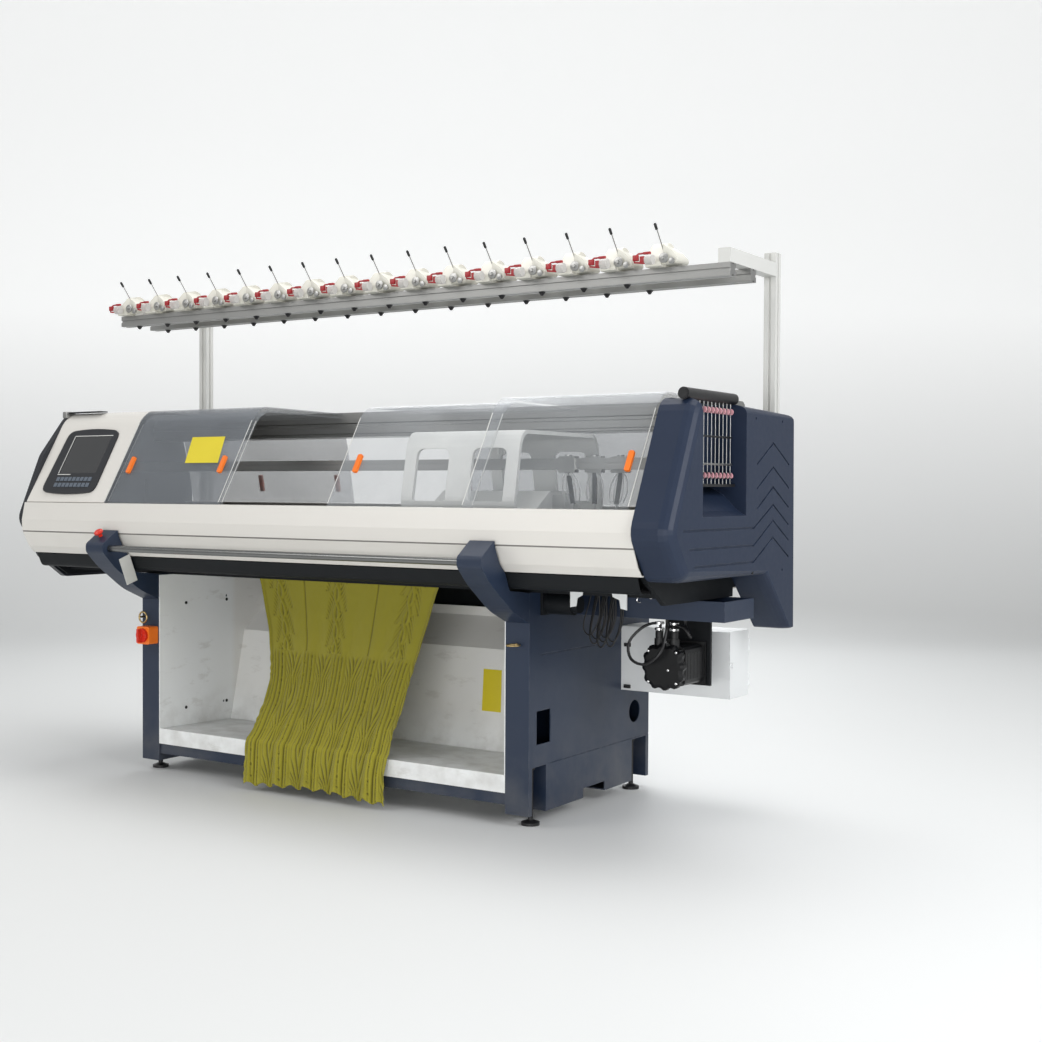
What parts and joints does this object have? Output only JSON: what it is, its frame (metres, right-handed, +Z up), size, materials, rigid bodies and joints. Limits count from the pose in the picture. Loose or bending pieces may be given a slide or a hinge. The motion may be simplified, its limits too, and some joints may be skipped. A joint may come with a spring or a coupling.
{
  "type": "flat knitting machine",
  "caption": "Flat V-bed knitting machine with bridged carriage, sliding clear covers, moulded right end cover, fabric tray and overhead yarn stand.",
  "frame": {"origin": "middle of the footprint of the whole machine, on the floor", "axes": "+X along the needle beds to the right, +Y from the operator's side to the back, +Z up"},
  "size_m": [2.74, 1.018, 1.8081],
  "materials": {
    "navy_paint": "satin powder coat",
    "navy_moulding": "satin moulding",
    "white_paint": "satin",
    "cream_paint": "gloss",
    "dark_paint": "satin",
    "grey_paint": "satin",
    "steel": "ground",
    "aluminium": "anodised",
    "clear": "clear acrylic",
    "frosted": "frosted",
    "red_plastic": "gloss",
    "orange_plastic": "gloss",
    "black_plastic": "satin",
    "screen": "gloss",
    "rubber": "matte",
    "brass": "worn",
    "beige_plastic": "satin",
    "fabric": "knitted"
  },
  "bodies": {
    "machine": {"side_panel_left": "navy_paint", "side_panel_right": "navy_paint", "base_rails": "navy_paint", "base_rear_panel": "white_paint", "fabric_tray": "white_paint", "levelling_feet": "black_plastic", "arm_left": "navy_paint", "arm_right": "navy_paint", "guide_rings": "brass", "arm_plate": "steel", "main_switch_body": "orange_plastic", "bed_beam": "dark_paint", "oil_trough": "dark_paint", "needle_bed_front": "steel", "needle_bed_rear": "steel", "carriage_rails": "steel", "feeder_rails": "steel", "end_frames": "grey_paint", "takedown_motor": "dark_paint", "main_belt": "rubber", "servo_motor": "dark_paint", "motor_bracket": "navy_paint", "motor_cables": "black_plastic", "apron": "cream_paint", "rear_apron": "cream_paint", "top_beam": "aluminium", "left_end_cap": "dark_paint", "control_housing": "cream_paint", "control_panel": "black_plastic", "control_screen": "screen", "right_end_cover": "navy_moulding", "tensioner_bar": "black_plastic", "side_tensioners": "steel", "electric_box": "white_paint", "stand_posts": "aluminium", "stand_rails": "aluminium", "yarn_units": "beige_plastic", "yarn_fittings": "beige_plastic", "knitted_fabric": "fabric"},
    "operating_bar": {"operating_bar": "steel"},
    "stop_button": {"stop_button": "red_plastic"},
    "main_switch_knob": {"main_switch_knob": "red_plastic"},
    "takedown_roller": {"takedown_roller": "rubber"},
    "pressure_roller": {"pressure_roller": "steel"},
    "carriage": {"carriage_bridge": "white_paint", "cam_boxes": "white_paint"},
    "yarn_carrier_1": {"yarn_carrier_1": "steel"},
    "yarn_carrier_2": {"yarn_carrier_2": "steel"},
    "yarn_carrier_3": {"yarn_carrier_3": "steel"},
    "drive_pulley": {"drive_pulley": "steel"},
    "idler_pulley": {"idler_pulley": "steel"},
    "front_cover_1": {"front_cover_1": "clear"},
    "front_cover_2": {"front_cover_2": "clear"},
    "front_cover_3": {"front_cover_3": "clear"},
    "front_cover_4": {"front_cover_4": "clear"},
    "rear_cover_1": {"rear_cover_1": "frosted"},
    "rear_cover_2": {"rear_cover_2": "frosted"},
    "electric_box_door": {"electric_box_door": "white_paint"}
  },
  "joints": [
    {"name": "operating_bar_turn", "type": "hinge", "parent": "machine", "child": "operating_bar", "pos_m": [-0.01, -0.478, 0.797], "axis": [1, 0, 0], "range_deg": [-12, 12]},
    {"name": "stop_button_press", "type": "slide", "parent": "machine", "child": "stop_button", "axis": [0, 0.5824, -0.8129], "range_m": [0, 0.005], "stiffness_N_per_m": 400},
    {"name": "main_switch_turn", "type": "hinge", "parent": "machine", "child": "main_switch_knob", "pos_m": [-0.782, -0.298, 0.483], "axis": [0, -1, 0], "range_deg": [0, 90]},
    {"name": "takedown_turn", "type": "hinge", "parent": "machine", "child": "takedown_roller", "pos_m": [-0.01, 0.0113, 0.735], "axis": [1, 0, 0], "continuous": true},
    {"name": "pressure_turn", "type": "hinge", "parent": "machine", "child": "pressure_roller", "pos_m": [-0.01, -0.0363, 0.735], "axis": [1, 0, 0], "continuous": true},
    {"name": "carriage_slide", "type": "slide", "parent": "machine", "child": "carriage", "axis": [1, 0, 0], "range_m": [-1.53, 0.4]},
    {"name": "drive_pulley_turn", "type": "hinge", "parent": "machine", "child": "drive_pulley", "pos_m": [1.16, 0.27, 0.85], "axis": [0, 1, 0], "range_deg": [-1900, 500]},
    {"name": "idler_pulley_turn", "type": "hinge", "parent": "machine", "child": "idler_pulley", "pos_m": [-1.17, 0.27, 0.85], "axis": [0, 1, 0], "range_deg": [-1900, 500]},
    {"name": "carrier_1_slide", "type": "slide", "parent": "machine", "child": "yarn_carrier_1", "axis": [1, 0, 0], "range_m": [-1.9, 0.2]},
    {"name": "carrier_2_slide", "type": "slide", "parent": "machine", "child": "yarn_carrier_2", "axis": [1, 0, 0], "range_m": [-1.9, 0.2]},
    {"name": "carrier_3_slide", "type": "slide", "parent": "machine", "child": "yarn_carrier_3", "axis": [1, 0, 0], "range_m": [-1.9, 0.2]},
    {"name": "front_cover_1_slide", "type": "slide", "parent": "machine", "child": "front_cover_1", "axis": [1, 0, 0], "range_m": [0, 0.3]},
    {"name": "front_cover_2_slide", "type": "slide", "parent": "machine", "child": "front_cover_2", "axis": [1, 0, 0], "range_m": [0, 0.22]},
    {"name": "front_cover_3_slide", "type": "slide", "parent": "machine", "child": "front_cover_3", "axis": [1, 0, 0], "range_m": [-0.2, 0.2]},
    {"name": "front_cover_4_slide", "type": "slide", "parent": "machine", "child": "front_cover_4", "axis": [1, 0, 0], "range_m": [-0.24, 0]},
    {"name": "rear_cover_1_slide", "type": "slide", "parent": "machine", "child": "rear_cover_1", "axis": [1, 0, 0], "range_m": [0, 0.42]},
    {"name": "rear_cover_2_slide", "type": "slide", "parent": "machine", "child": "rear_cover_2", "axis": [1, 0, 0], "range_m": [-0.04, 0.28]},
    {"name": "box_door_turn", "type": "hinge", "parent": "machine", "child": "electric_box_door", "pos_m": [1.1963, 0.4485, 0.455], "axis": [0, 0, 1], "range_deg": [0, 110]}
  ],
  "couplings": [
    {"joint": "pressure_turn", "follows": "takedown_turn", "ratio": -1.3889},
    {"joint": "drive_pulley_turn", "follows": "carriage_slide", "rad_per_m": 21.505},
    {"joint": "idler_pulley_turn", "follows": "carriage_slide", "rad_per_m": 21.505}
  ]
}
